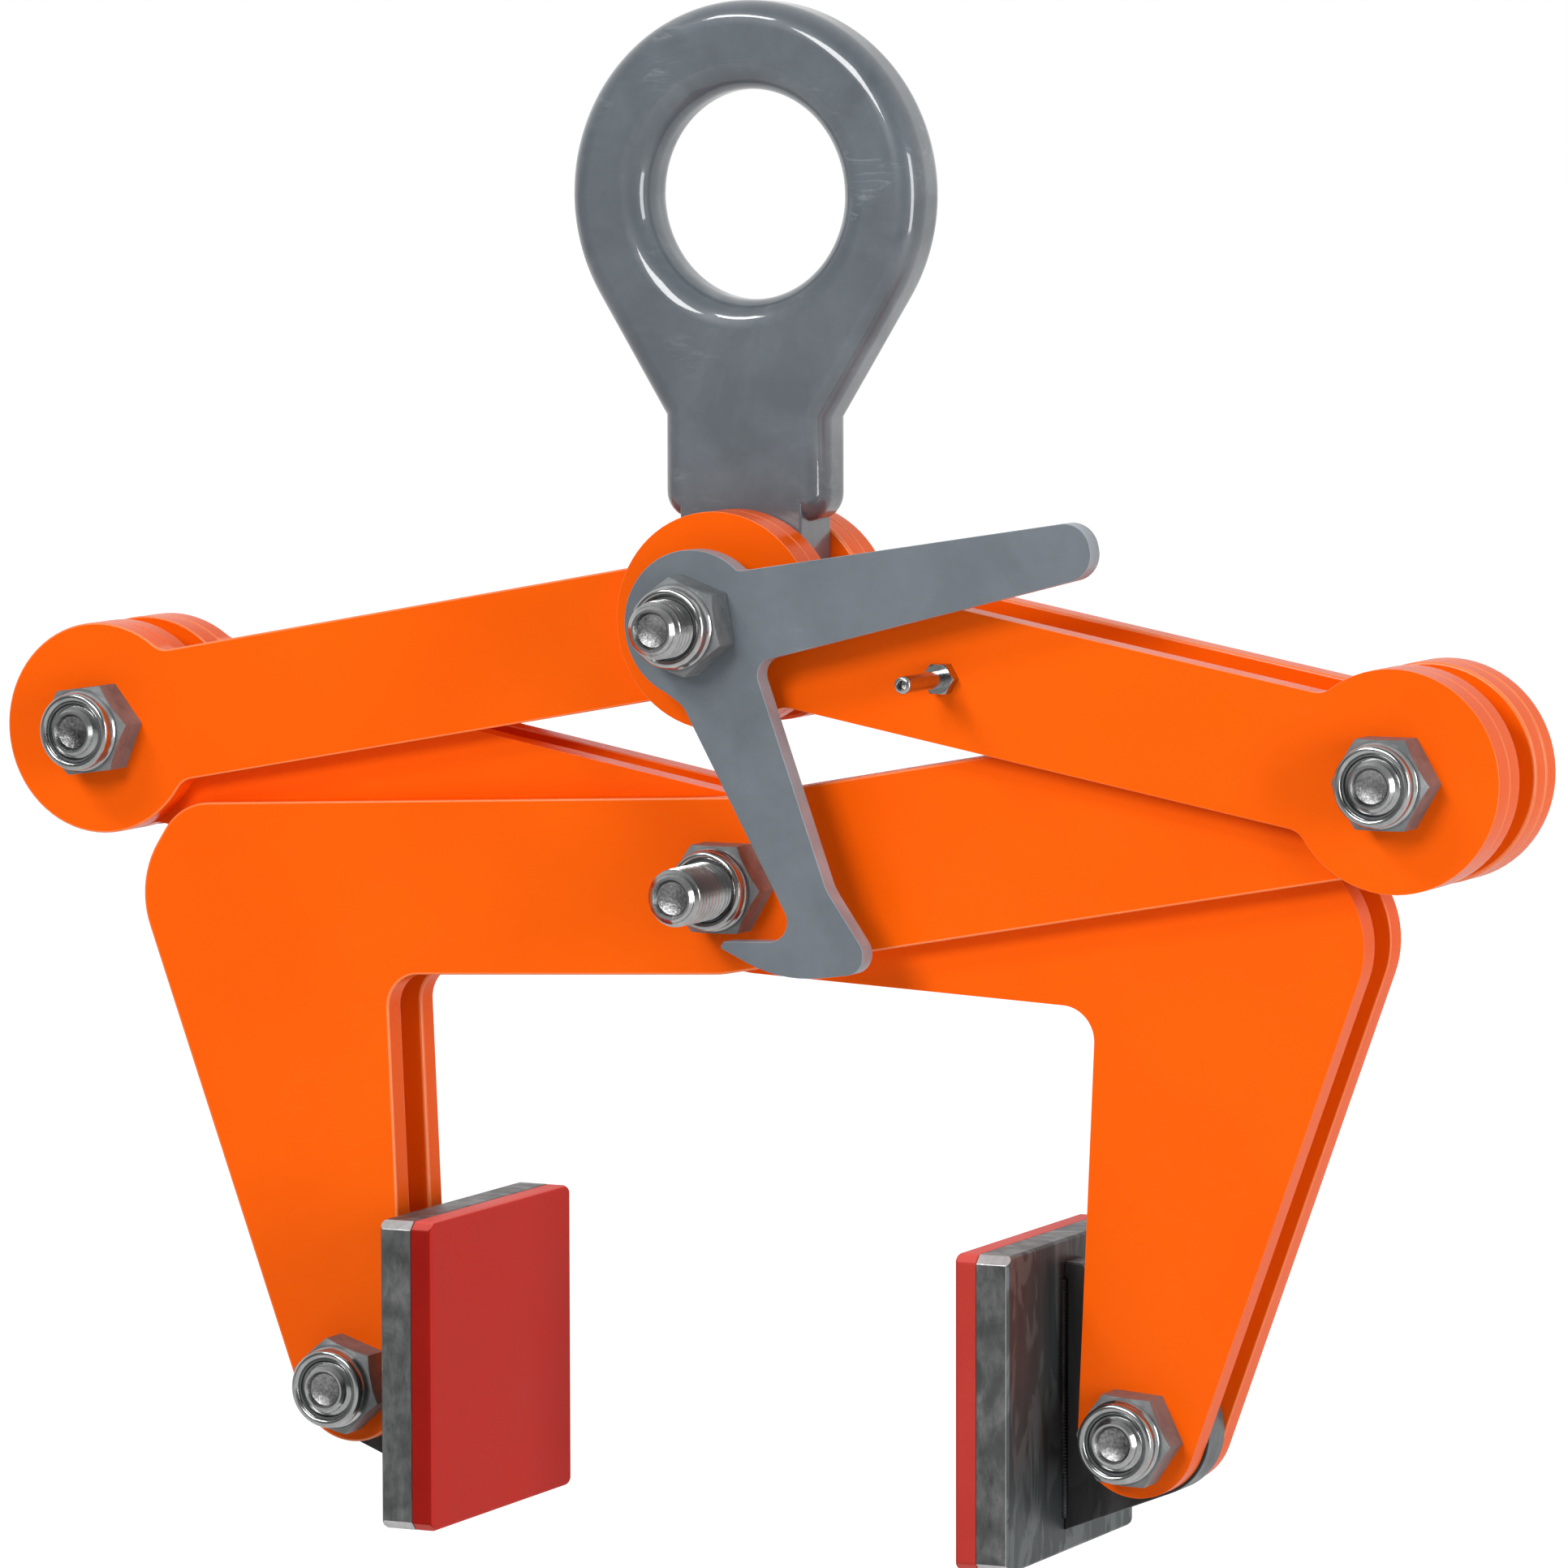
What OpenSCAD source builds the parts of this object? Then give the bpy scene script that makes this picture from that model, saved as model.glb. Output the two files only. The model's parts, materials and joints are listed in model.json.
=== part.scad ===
// Scissor lifting tongs: a lifting eye carries two links, the links carry two
// cranked arms that cross at a centre bolt, and each arm carries a gripping pad.
// The origin is the middle of the lifting eye's hole. Z is up, X runs from pad
// to pad, and -Y is the front, where the nuts and the lock lever are.

/* [Linkage] */
// Distance between the two pivots of a link, and between an arm's outer and centre pivots
link_span = 252; // [246:1:262]
// Height from the top bolt down to the centre bolt, with the tongs fully open
open_rise = 92; // [90:1:96]
// Height from the middle of the lifting eye down to the top bolt
eye_drop = 145; // [140:1:155]
// Distance sideways from the centre bolt to a pad's bolt
pad_reach = 148.2; // [142:0.2:152]
// Height from the centre bolt down to a pad's bolt
pad_drop = 182.2; // [178:0.2:200]

/* [Plates] */
// Thickness of every link and arm plate
plate_t = 9.7; // [8:0.1:12]
// Running gap between plates that turn on each other
run_gap = 0.3; // [0.2:0.05:0.6]
// Diameter of the round plate ends at the pivots
disc_d = 75; // [70:1:78]
// Height of the link bars
link_h = 46.6; // [40:0.2:52]
// Height of the arm bars between the outer and centre pivots
bar_h = 59.6; // [54:0.2:62]
// Height of the arm beams between the centre pivot and the elbow
beam_h = 61.4; // [56:0.2:64]
// Fall of the beam towards its elbow, in degrees
beam_fall = 2.7; // [1:0.1:4]
// Radius in the necks beside the round plate ends
neck_r = 8; // [5:1:10]
// Radius of an arm's lower end, round the pad bolt
tip_r = 21.5; // [20:0.5:24]
// Distance sideways from the centre bolt to the inside corner of an arm
arm_inner = 133; // [129:1:136]
// Radius of the inside corner of an arm
inner_r = 12; // [8:1:16]
// Radius where an arm's bar turns into its beam
kink_r = 30; // [10:1:60]
// Gap between an arm's elbow and the round end of the link beside it
elbow_gap = 3.3; // [2:0.1:8]
// Slope of the elbow's upper face, in degrees
elbow_slope = 57.3; // [54:0.1:62]
// Length of the elbow's upper face
elbow_length = 34; // [31:0.5:40]
// Radius of the elbow's upper corner
elbow_top_r = 22; // [14:1:26]
// Radius of the elbow's side corner
elbow_side_r = 34; // [20:1:40]

/* [Lifting eye] */
// Diameter of the hole in the lifting eye
eye_bore_d = 72; // [60:1:76]
// Outer diameter of the lifting eye
eye_outer_d = 133; // [126:1:140]
// Thickness of the lifting eye
eye_t = 24.4; // [23:0.2:26]
// Radius of the rounded outer edges of the lifting eye
eye_round = 8.5; // [5:0.5:9]
// Radius of the rounded edges of the lifting eye's hole
bore_round = 10.5; // [6:0.5:11]
// Width of the stem below the lifting eye
stem_w = 62; // [58:1:66]
// Width of the lug that sits between the links
lug_w = 46; // [44:1:56]
// Height of the stem's shoulders above the top bolt
shoulder_rise = 33; // [32:1:42]
// Drop from the bottom of the ring to where the stem is straight
neck_drop = 7; // [2:0.5:12]

/* [Bolts] */
// Diameter of the pivot bolts
bolt_d = 20; // [16:1:20]
// Play round a bolt in each hole, on the radius
fit = 0.05; // [0.03:0.01:0.09]
// Play round the centre bolt in the arm that it does not clamp, on the radius
centre_play = 0.25; // [0.15:0.05:0.4]
// Width across the flats of the nuts and bolt heads
nut_af = 30; // [28:0.5:32]
// Height of the hexagon of a nut
nut_hex_h = 13; // [11:0.5:14]
// Height of a nut with its locking collar
nut_h = 19.6; // [18:0.2:21]
// Diameter of a nut's locking collar
collar_d = 26.4; // [25:0.2:27.6]
// Height of a bolt head
head_h = 12.5; // [10:0.5:14]
// Wall of the spacer sleeves between the arm plates at the outer pivots
arm_spacer_wall = 6; // [4:0.5:8]
// Wall of the spacer sleeves on the centre bolt and behind the lever
wide_spacer_wall = 8; // [5:0.5:10]
// Turn of the top nut on its bolt, in degrees
top_turn = -20; // [-30:1:30]
// Turn of the left pivot's nut, in degrees
left_turn = 8; // [-30:1:30]
// Turn of the left pad's nut, in degrees
left_pad_turn = -18; // [-30:1:30]
// Turn of the right pad's nut, in degrees
right_pad_turn = -4; // [-30:1:30]
// Length of an ordinary bolt that stands out past its nut
bolt_end = 1.4; // [0.2:0.1:2]
// Length of the top bolt that stands out past its nut
top_end = 12; // [6:1:16]
// Length of the centre bolt that stands out past its nut, for the hook
centre_stub = 26; // [22:1:30]

/* [Lock lever] */
// Thickness of the lock lever
lever_t = 8; // [6:0.5:8.5]
// Length of the spacer between the front link and the lever
spacer_l = 10.4; // [10:0.1:14]
// Diameter of the lever's round end
lever_disc_d = 51; // [46:1:56]
// Length of the handle from the top bolt
handle_l = 150; // [130:1:160]
// Height of the handle at the lever's round end
handle_root_h = 33.5; // [28:0.5:36]
// Height of the handle at its end
handle_end_h = 18.6; // [14:0.2:24]
// Drop of the handle's middle line below the top bolt
handle_drop = 1; // [0:0.2:3]
// Gap between the centre bolt and the hook's shank when the hook is closed
hook_side_gap = 0.5; // [0.3:0.1:2]
// Gap between the centre bolt and the hook's seat when the hook is closed
hook_seat_gap = 7.7; // [3:0.1:9]
// Reach of the hook's nose past the centre bolt's middle when it is closed
hook_nose = 12.6; // [10:0.2:14]
// Width of the hook's shank
shank_w = 18.5; // [17:0.5:23]
// Depth of the hook below its seat
hook_depth = 17.8; // [14:0.2:22]
// Slope of the hook's seat, in degrees
hook_slope = 9.8; // [4:0.2:14]
// Height of the bend in the shank above the hook's seat
throat_rise = 12.7; // [8:0.1:18]
// Distance that the heel of the hook stands out beyond the bend
heel_out = 12.9; // [8:0.1:15]
// Radius of the hook's nose
nose_r = 0.8; // [0.6:0.1:0.9]

/* [Stop pin] */
// Distance of the stop pin from the top bolt, along X, with the tongs open
pin_reach = 85.5; // [78:0.5:100]
// Diameter of the stop pin
pin_d = 6; // [5:0.5:8]
// Length of the stop pin in front of the link
pin_l = 34; // [30:1:38]
// Width across the flats of the stop pin's nut
pin_nut_af = 10; // [9:0.5:13]
// Height of the stop pin's nut and of its head
pin_nut_h = 5; // [4:0.5:6]

/* [Pads] */
// Width and height of a pad
pad_size = 108.5; // [98:0.5:112]
// Thickness of a pad's steel plate
pad_t = 12; // [10:0.5:15]
// Thickness of a pad's red facing
facing_t = 8; // [6:0.5:10]
// Distance from a pad bolt's middle to the back of the pad plate
pad_back = 31.2; // [28:0.2:34]
// Height of a pad's middle above its bolt
pad_rise = 9.9; // [6:0.1:14]
// Width of the sloped edge round the facing
facing_bevel = 1; // [0.5:0.5:4]
// Size of the cut corners of a pad
pad_corner = 3; // [1:0.5:6]
// Radius of the pad lug round its bolt
pad_lug_r = 22.5; // [21:0.5:24]
// Height of the pad lug where it is welded to the plate
pad_lug_h = 93; // [70:1:94]
// Width of the flat top of the pad lug
lug_brow = 6; // [2:0.5:8]
// Width of the bevelled edge round the back of a pad's steel plate
plate_edge = 1; // [0.5:0.1:2]

/* [Hidden] */
$fn = 64;

// Colours, as the photograph shows them
orange = "#ff6614";
eye_grey = "#646e76";
lever_grey = "#707a82";
zinc = "#b9bcbe";
nylon = "#8d9092";
raw_steel = "#5a5a5a";
pad_red = "#b23630";

// Pivots in the XZ plane: top, outer right, outer left, centre
disc_r = disc_d / 2;
half_span = sqrt(pow(link_span, 2) - pow(open_rise / 2, 2));
top_p = [0, -eye_drop];
right_p = [half_span, -eye_drop - open_rise / 2];
left_p = [-half_span, right_p.y];
centre_p = [0, -eye_drop - open_rise];
left_pad_p = [-pad_reach, centre_p.y - pad_drop];
link_angle = atan2(open_rise / 2, half_span);

// Layers along Y. The eye's thickness and the plates' pitch set them all.
pitch = plate_t + run_gap;
clear_half = eye_t / 2 + run_gap;
mid_half = clear_half - pitch;
front_outer = -clear_half - 2 * pitch;
front_middle = -clear_half - pitch;
front_inner = -clear_half;
rear_inner = mid_half;
rear_middle = clear_half;
rear_outer = clear_half + pitch;
hole_d = bolt_d + 2 * fit;

// Lock lever, with its hook closed round the centre bolt, about the top bolt
lever_back = front_outer - spacer_l;
lever_front = lever_back - lever_t;
handle_slope = atan2((handle_root_h - handle_end_h) / 2, handle_l);
hook_seat = open_rise + bolt_d / 2 + hook_seat_gap;
nose_angle = atan2(hook_nose, hook_seat);
nose_radius = norm([hook_nose, hook_seat]);
stub_clear = bolt_d / 2 + hook_side_gap / 2;
lever_lift = asin(stub_clear / nose_radius) + nose_angle;

// Angles round the lever's disc where the handle and the shank leave it, and the
// radii of its outline's corners
shoulder_at = 42;
neck_at = 225;
shoulder_r = 5;
armpit_r = 6;
bend_r = 20;
heel_r = 7;
belly_r = 50;
throat_r = 7;
inset = 0.985;
handle_flat = 0.2;
nose_blunt = 2.5;

// Stop pin, placed under the handle of the closed lever
handle_low = -handle_drop - handle_root_h / 2 + pin_reach * tan(handle_slope);
pin_p = [pin_reach, handle_low - pin_d / 2 - run_gap];

// Locking ring inside a nut's collar, and the lip that is rolled in over it
collar_wall = 1.6;
collar_round = 1.6;
lip_reach = 1.1;
ring_r = collar_d / 2 - collar_wall;
lip_r = ring_r - lip_reach;
lip_h = 1;
ring_h = 4.2;

// Half the length of a cut that goes through everything, a short overrun, and
// the most that an outline turns from one point of an arc to the next
through = 200;
over = 1;
arc_step = 5;

// Depth layers of the two pads
left_lug_mid = (front_inner + rear_inner) / 2;
right_lug_mid = -left_lug_mid;
lug_t = rear_inner - front_inner - 2 * run_gap;

function unit(a) = [cos(a), sin(a)];
function turned(v, a) = [v.x * cos(a) - v.y * sin(a), v.x * sin(a) + v.y * cos(a)];
function wrapped(a) = a > 180 ? a - 360 : a < -180 ? a + 360 : a;

// Points of an arc about c, between two angles
function arc_points(c, r, from, to) =
    let (steps = max(2, ceil(abs(to - from) / arc_step)))
    [for (i = [0 : steps]) c + r * unit(from + (to - from) * i / steps)];

// Points of the arc that rounds corner b, between neighbours a and c
function corner_arc(a, b, c, r) =
    let (u = (a - b) / norm(a - b), v = (c - b) / norm(c - b))
    let (half = acos(u * v) / 2, reach = r / tan(half))
    let (m = b + (u + v) / norm(u + v) * r / sin(half))
    let (from = b + u * reach - m, to = b + v * reach - m)
    let (start = atan2(from.y, from.x))
    arc_points(m, r, start, start + wrapped(atan2(to.y, to.x) - start));

// Outline from corners given as [point, radius]
function rounded(corners) =
    let (n = len(corners))
    [for (i = [0 : n - 1])
        each corners[i][1] == 0 ? [corners[i][0]]
            : corner_arc(corners[(i + n - 1) % n][0], corners[i][0],
                corners[(i + 1) % n][0], corners[i][1])];

// Where two lines meet, each given by a point and a direction angle
function meet(p, a, q, b) =
    let (u = unit(a), v = unit(b), w = q - p)
    p + u * (w.x * v.y - w.y * v.x) / (u.x * v.y - u.y * v.x);

// Point where a line from p touches a circle, on the side given by +1 or -1
function touch(p, c, r, side) =
    let (d = c - p, off = asin(r / norm(d)))
    let (a = atan2(d.y, d.x) + side * off)
    p + unit(a) * norm(d) * cos(off);

// Round end of a bar of height h that leaves point p at angle a, with its two necks
function round_end(p, a, h) =
    let (rise = h / 2 + neck_r, out = sqrt(pow(disc_r + neck_r, 2) - pow(rise, 2)))
    let (meets = atan2(rise, out))
    [for (q = concat(arc_points([out, rise], neck_r, -90, meets - 180),
            arc_points([0, 0], disc_r, meets + arc_step, 360 - meets - arc_step),
            arc_points([out, -rise], neck_r, 180 - meets, 90))) p + turned(q, a)];

// A flat outline in the XZ plane, made a plate from y0 to y0 + t
module plate(y0, t) {
    translate([0, y0 + t, 0]) rotate([90, 0, 0]) linear_extrude(t) children();
}

// A cylinder along Y from y0 to y1
module rod(p, y0, y1, d) {
    translate([p.x, y0, p.y]) rotate([-90, 0, 0]) cylinder(h = y1 - y0, d = d);
}

// A profile of [radius, y] turned round the Y axis through p
module turned_part(p) {
    translate([p.x, 0, p.y]) rotate([-90, 0, 0]) rotate_extrude() children();
}

// A bore along Y that is cut through everything
module bore(p, d) {
    rod(p, -through, through, d);
}

module link_outline(p) {
    a = atan2(p.y - top_p.y, p.x - top_p.x);
    polygon(concat(round_end(top_p, a, link_h), round_end(p, a + 180, link_h)));
}

// Corners of the left arm's outline, from the outer right pivot round by the elbow
function arm_corners() =
    let (fall = 180 + beam_fall)
    let (bar_end = round_end(right_p, 180 + link_angle, bar_h))
    let (bar_low = bar_end[0], bar_top = bar_end[len(bar_end) - 1])
    let (beam_top = centre_p + turned([0, beam_h / 2], beam_fall))
    let (beam_low = centre_p - turned([0, beam_h / 2], beam_fall))
    let (kink_top = meet(bar_top, link_angle, beam_top, fall))
    let (kink_low = meet(bar_low, link_angle, beam_low, fall))
    let (cut_p = left_p + unit(elbow_slope - 90) * (disc_r + elbow_gap))
    let (elbow_top = meet(beam_top, fall, cut_p, elbow_slope))
    let (elbow_side = elbow_top - unit(elbow_slope) * elbow_length)
    let (inside = meet(beam_low, fall, [-arm_inner, 0], 90))
    let (outer_touch = touch(elbow_side, left_pad_p, tip_r, -1) - left_pad_p)
    let (inner_touch = touch(inside, left_pad_p, tip_r, 1) - left_pad_p)
    let (start = atan2(outer_touch.y, outer_touch.x))
    let (sweep = wrapped(atan2(inner_touch.y, inner_touch.x) - start))
    concat([for (q = bar_end) [q, 0]],
        [[kink_top, kink_r], [elbow_top, elbow_top_r], [elbow_side, elbow_side_r]],
        [for (q = arc_points(left_pad_p, tip_r, start, start + sweep)) [q, 0]],
        [[inside, inner_r], [kink_low, kink_r]]);

module link_plate(p, y0) {
    color(orange) difference() {
        plate(y0, plate_t) link_outline(p);
        bore(top_p, hole_d);
        bore(p, hole_d);
    }
}

// Plate of the left arm. The right arm is the same plate mirrored.
module arm_plate(y0, centre_hole_d) {
    color(orange) difference() {
        plate(y0, plate_t) polygon(rounded(arm_corners()));
        bore(right_p, hole_d);
        bore(centre_p, centre_hole_d);
        bore(left_pad_p, hole_d);
    }
}

// Hexagon along Y with its outer corners turned off on one or both faces
module hexagon(p, y0, y1, af, bevel_front, bevel_rear, turn = 0) {
    bevel_angle = 35;
    corner = af / cos(30);
    bevel = (corner - af) / 2 * tan(bevel_angle);
    r = corner / 2;
    intersection() {
        translate([p.x, y0, p.y]) rotate([-90, 0, 0]) rotate([0, 0, -turn])
            cylinder(h = y1 - y0, d = corner, $fn = 6);
        turned_part(p) polygon([[0, y0], [bevel_front ? af / 2 : r + over, y0],
            [r + (bevel_front ? 0 : over), bevel_front ? y0 + bevel : y0],
            [r + (bevel_rear ? 0 : over), bevel_rear ? y1 - bevel : y1],
            [bevel_rear ? af / 2 : r + over, y1], [0, y1]]);
    }
}

// Bolt with its hexagon head behind y_head and its dished end at y_end
module bolt(p, y_head, y_end) {
    edge = 2.7;
    rim = 0.7;
    dish = 2.5;
    r = bolt_d / 2;
    color(zinc) {
        turned_part(p) polygon([[0, y_head + head_h / 2], [r, y_head + head_h / 2],
            [r, y_end + edge], [r - edge, y_end], [r - edge - rim, y_end],
            [r - edge - rim - dish / 2, y_end + dish * 0.7], [r / 3, y_end + dish],
            [0, y_end + dish]]);
        hexagon(p, y_head, y_head + head_h, nut_af, false, true);
    }
}

// Lock nut that seats on the face at y and stands forward of it
module lock_nut(p, y, turn = 0) {
    top = y - nut_h;
    r = collar_d / 2;
    color(zinc) difference() {
        union() {
            hexagon(p, y - nut_hex_h, y, nut_af, true, false, turn);
            turned_part(p) polygon([[0, y - nut_hex_h / 2], [r, y - nut_hex_h / 2],
                [r, top + collar_round],
                [r - collar_round * (1 - sin(45)), top + collar_round * (1 - sin(45))],
                [r - collar_round, top], [0, top]]);
        }
        bore(p, hole_d);
        rod(p, top + lip_h, top + lip_h + ring_h, 2 * ring_r);
        rod(p, top - over, top + lip_h + over, 2 * lip_r);
    }
}

// Nylon locking ring inside a nut's collar
module nut_ring(p, y) {
    top = y - nut_h + lip_h;
    color(nylon) difference() {
        rod(p, top + fit, top + ring_h - fit, 2 * ring_r - 2 * fit);
        bore(p, hole_d);
    }
}

// Round sleeve on a bolt, from y0 to y1
module sleeve(p, y0, y1, wall) {
    color(zinc) difference() {
        rod(p, y0, y1, hole_d + 2 * wall);
        bore(p, hole_d);
    }
}

// A short round post along Y with rounded rims, used to shape the eye
module post(p, r) {
    steps = 5;
    h = eye_t / 2;
    turned_part(p) polygon(concat([[0, -h]],
        [for (i = [0 : steps]) [r - eye_round, -h + eye_round] + eye_round * unit(-90 + 90 * i / steps)],
        [for (i = [0 : steps]) [r - eye_round, h - eye_round] + eye_round * unit(90 * i / steps)],
        [[0, h]]));
}

// Hole of the eye, flared on both faces by its rounded edges
module eye_hole() {
    steps = 8;
    r = bore_round;
    h = eye_t / 2;
    flare_r = eye_bore_d / 2 + r;
    turned_part([0, 0]) polygon(concat([[0, -h - over], [flare_r, -h - over]],
        [for (i = [0 : steps]) [flare_r, -h + r] + r * unit(270 - 90 * i / steps)],
        [for (i = [0 : steps]) [flare_r, h - r] + r * unit(180 - 90 * i / steps)],
        [[flare_r, h + over], [0, h + over]]));
}

module lifting_eye() {
    post_r = eye_round + 1;
    stem_x = stem_w / 2 - post_r;
    neck_z = -eye_outer_d / 2 - neck_drop;
    shoulder_z = top_p.y + shoulder_rise + post_r;
    h = eye_t / 2;
    color(eye_grey) difference() {
        union() {
            hull() {
                post([0, 0], eye_outer_d / 2, $fn = 96);
                for (s = [-1, 1]) post([s * stem_x, neck_z], post_r, $fn = 32);
            }
            hull() for (s = [-1, 1]) {
                post([s * stem_x, neck_z], post_r, $fn = 32);
                post([s * stem_x, shoulder_z], post_r, $fn = 32);
            }
            rod(top_p, -h, h, lug_w);
            translate([-lug_w / 2, -h, top_p.y]) cube([lug_w, eye_t, shoulder_rise + post_r]);
        }
        eye_hole();
        bore(top_p, hole_d);
    }
}

// Outline of the lever with its hook closed, about the top bolt
function lever_corners() =
    let (r = lever_disc_d / 2, mid = -handle_drop, seat = -hook_seat)
    let (root = handle_root_h / 2, end = handle_end_h / 2, end_r = end - handle_flat)
    let (shoulder = inset * r * unit(shoulder_at), neck = inset * r * unit(neck_at))
    let (start = [-0.47 * r, -0.67 * r])
    let (side = touch(start, [0, -open_rise], bolt_d / 2 + hook_side_gap, 1))
    let (side_a = atan2(side.y - start.y, side.x - start.x))
    let (throat = meet(start, side_a, [0, seat], -hook_slope))
    let (bend = meet(start, side_a, [0, seat + throat_rise], 0) + [shank_w, 0])
    let (heel = bend + [heel_out, -throat_rise - hook_depth])
    let (belly = [hook_nose * 0.63, seat - hook_depth * 0.86])
    let (armpit_x = r * 0.78, armpit = [armpit_x, mid - root + armpit_x * tan(handle_slope)])
    let (root_top = meet(shoulder, shoulder_at - 90, [0, mid + root], -handle_slope))
    [[shoulder, 0], [root_top, shoulder_r],
        [[handle_l, mid + end], end_r], [[handle_l, mid - end], end_r], [armpit, armpit_r],
        [bend, bend_r], [heel, heel_r], [belly, belly_r], [[-hook_nose, seat], nose_r],
        [[-hook_nose, seat] + nose_blunt * unit(45), nose_r / 2], [throat, throat_r],
        [meet(start, side_a, neck, neck_at + 90), neck_r], [neck, 0]];

module lock_lever() {
    color(lever_grey) translate([top_p.x, 0, top_p.y]) rotate([0, -lever_lift, 0]) difference() {
        union() {
            plate(lever_front, lever_t) polygon(rounded(lever_corners()));
            rod([0, 0], lever_front, lever_back, lever_disc_d);
        }
        bore([0, 0], hole_d);
    }
}

// Stop pin: a small bolt through the right link, with its head behind the plate
module stop_pin() {
    head_y = front_outer + plate_t;
    y_end = front_outer - pin_l;
    r = pin_d / 2;
    edge = 0.6;
    dish = 1.2;
    color(zinc) translate([top_p.x, 0, top_p.y]) {
        turned_part(pin_p) polygon([[0, head_y + dish], [r, head_y + dish], [r, y_end + edge],
            [r - edge, y_end], [r - 2 * edge, y_end], [r / 3, y_end + dish], [0, y_end + dish]]);
        hexagon(pin_p, head_y, head_y + pin_nut_h, pin_nut_af, false, true);
    }
}

module stop_pin_nut() {
    color(zinc) translate([top_p.x, 0, top_p.y]) difference() {
        hexagon(pin_p, front_outer - pin_nut_h, front_outer, pin_nut_af, true, false);
        bore(pin_p, pin_d + 2 * fit);
    }
}

module right_link_front() {
    difference() {
        link_plate(right_p, front_outer);
        bore(top_p + pin_p, pin_d + 2 * fit);
    }
}

// A square block from x0 to x1 with cut corners, seen along X, and bevelled edges
module pad_block(p, y_mid, x0, x1, bevel_in) {
    half = pad_size / 2;
    mid_z = p.y + pad_rise;
    cut = half - pad_corner;
    edge = bevel_in ? facing_bevel : plate_edge;
    slope = bevel_in ? edge * 0.9 : edge;
    span = pad_size + 2 * over;
    intersection() {
        translate([x0, y_mid, mid_z]) rotate([90, 0, 90]) linear_extrude(x1 - x0)
            polygon([[-half, -cut], [-cut, -half], [cut, -half], [half, -cut],
                [half, cut], [cut, half], [-cut, half], [-half, cut]]);
        translate([0, y_mid, mid_z - span / 2]) linear_extrude(span)
            polygon(block_profile(x0, x1, half, edge, slope, bevel_in));
        translate([0, y_mid + span / 2, mid_z]) rotate([90, 0, 0]) linear_extrude(span)
            polygon(block_profile(x0, x1, half, edge, slope, bevel_in));
    }
}

// Half height against X, with the edge of the x1 face sloped, and of x0 if it is steel
function block_profile(x0, x1, half, edge, slope, bevel_in) =
    bevel_in ? [[x0, -half], [x1 - slope, -half], [x1, -half + edge], [x1, half - edge],
            [x1 - slope, half], [x0, half]]
        : [[x0, -half + edge], [x0 + edge, -half], [x1, -half], [x1, half],
            [x0 + edge, half], [x0, half - edge]];

module pad_plate(p, y_mid) {
    color(raw_steel) pad_block(p, y_mid, p.x + pad_back, p.x + pad_back + pad_t, false);
}

module pad_facing(p, y_mid) {
    x0 = p.x + pad_back + pad_t;
    color(pad_red) pad_block(p, y_mid, x0, x0 + facing_t, true);
}

// Lug welded to the back of the left pad's plate
module pad_lug(p, y_mid) {
    low = [p.x + pad_back, p.y + pad_rise - pad_lug_h / 2];
    high = low + [0, pad_lug_h];
    brow = high - [lug_brow, 0];
    color(raw_steel) difference() {
        plate(y_mid - lug_t / 2, lug_t) {
            polygon([low, high, brow, touch(brow, p, pad_lug_r, -1), p, touch(low, p, pad_lug_r, 1)]);
            translate(p) circle(r = pad_lug_r);
        }
        bore(p, hole_d);
    }
}

// The right arm and pad are the left ones mirrored, in their own layers
module mirrored() {
    mirror([1, 0, 0]) children();
}

lifting_eye();
bolt(top_p, rear_outer + pitch, lever_front - run_gap - nut_h - top_end);  // top_bolt
lock_nut(top_p, lever_front - run_gap, top_turn);  // top_nut
nut_ring(top_p, lever_front - run_gap);  // top_nut_ring
sleeve(top_p, lever_back + run_gap, front_outer - run_gap, wide_spacer_wall);  // lever_spacer
lock_lever();

right_link_front();
link_plate(right_p, rear_middle);  // right_link_rear
bolt(right_p, rear_middle + plate_t, front_outer - nut_h - bolt_end);  // right_pivot_bolt
lock_nut(right_p, front_outer);  // right_pivot_nut
nut_ring(right_p, front_outer);  // right_nut_ring
stop_pin();
stop_pin_nut();

link_plate(left_p, front_middle);  // left_link_front
link_plate(left_p, rear_outer);  // left_link_rear
bolt(left_p, rear_outer + plate_t, front_middle - nut_h - bolt_end);  // left_pivot_bolt
lock_nut(left_p, front_middle, left_turn);  // left_pivot_nut
nut_ring(left_p, front_middle);  // left_nut_ring

arm_plate(front_middle, hole_d);  // left_arm_front
arm_plate(rear_inner, hole_d);  // left_arm_rear
sleeve(right_p, front_middle + plate_t, rear_inner, arm_spacer_wall);  // left_arm_spacer
bolt(centre_p, rear_middle + pitch, front_middle - nut_h - centre_stub);  // centre_bolt
lock_nut(centre_p, front_middle);  // centre_nut
nut_ring(centre_p, front_middle);  // centre_nut_ring
bolt(left_pad_p, rear_inner + plate_t, front_middle - nut_h - bolt_end);  // left_pad_bolt
lock_nut(left_pad_p, front_middle, left_pad_turn);  // left_pad_nut
nut_ring(left_pad_p, front_middle);  // left_pad_nut_ring

mirrored() arm_plate(front_inner, bolt_d + 2 * centre_play);  // right_arm_front
mirrored() arm_plate(rear_middle, bolt_d + 2 * centre_play);  // right_arm_rear
sleeve(left_p, front_inner + plate_t, rear_middle, arm_spacer_wall);  // right_arm_spacer
sleeve(centre_p, front_inner + plate_t, rear_inner - run_gap, wide_spacer_wall);  // centre_spacer
mirrored() bolt(left_pad_p, rear_middle + plate_t, front_inner - nut_h - bolt_end);  // right_pad_bolt
mirrored() lock_nut(left_pad_p, front_inner, -right_pad_turn);  // right_pad_nut
mirrored() nut_ring(left_pad_p, front_inner);  // right_pad_nut_ring

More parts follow.
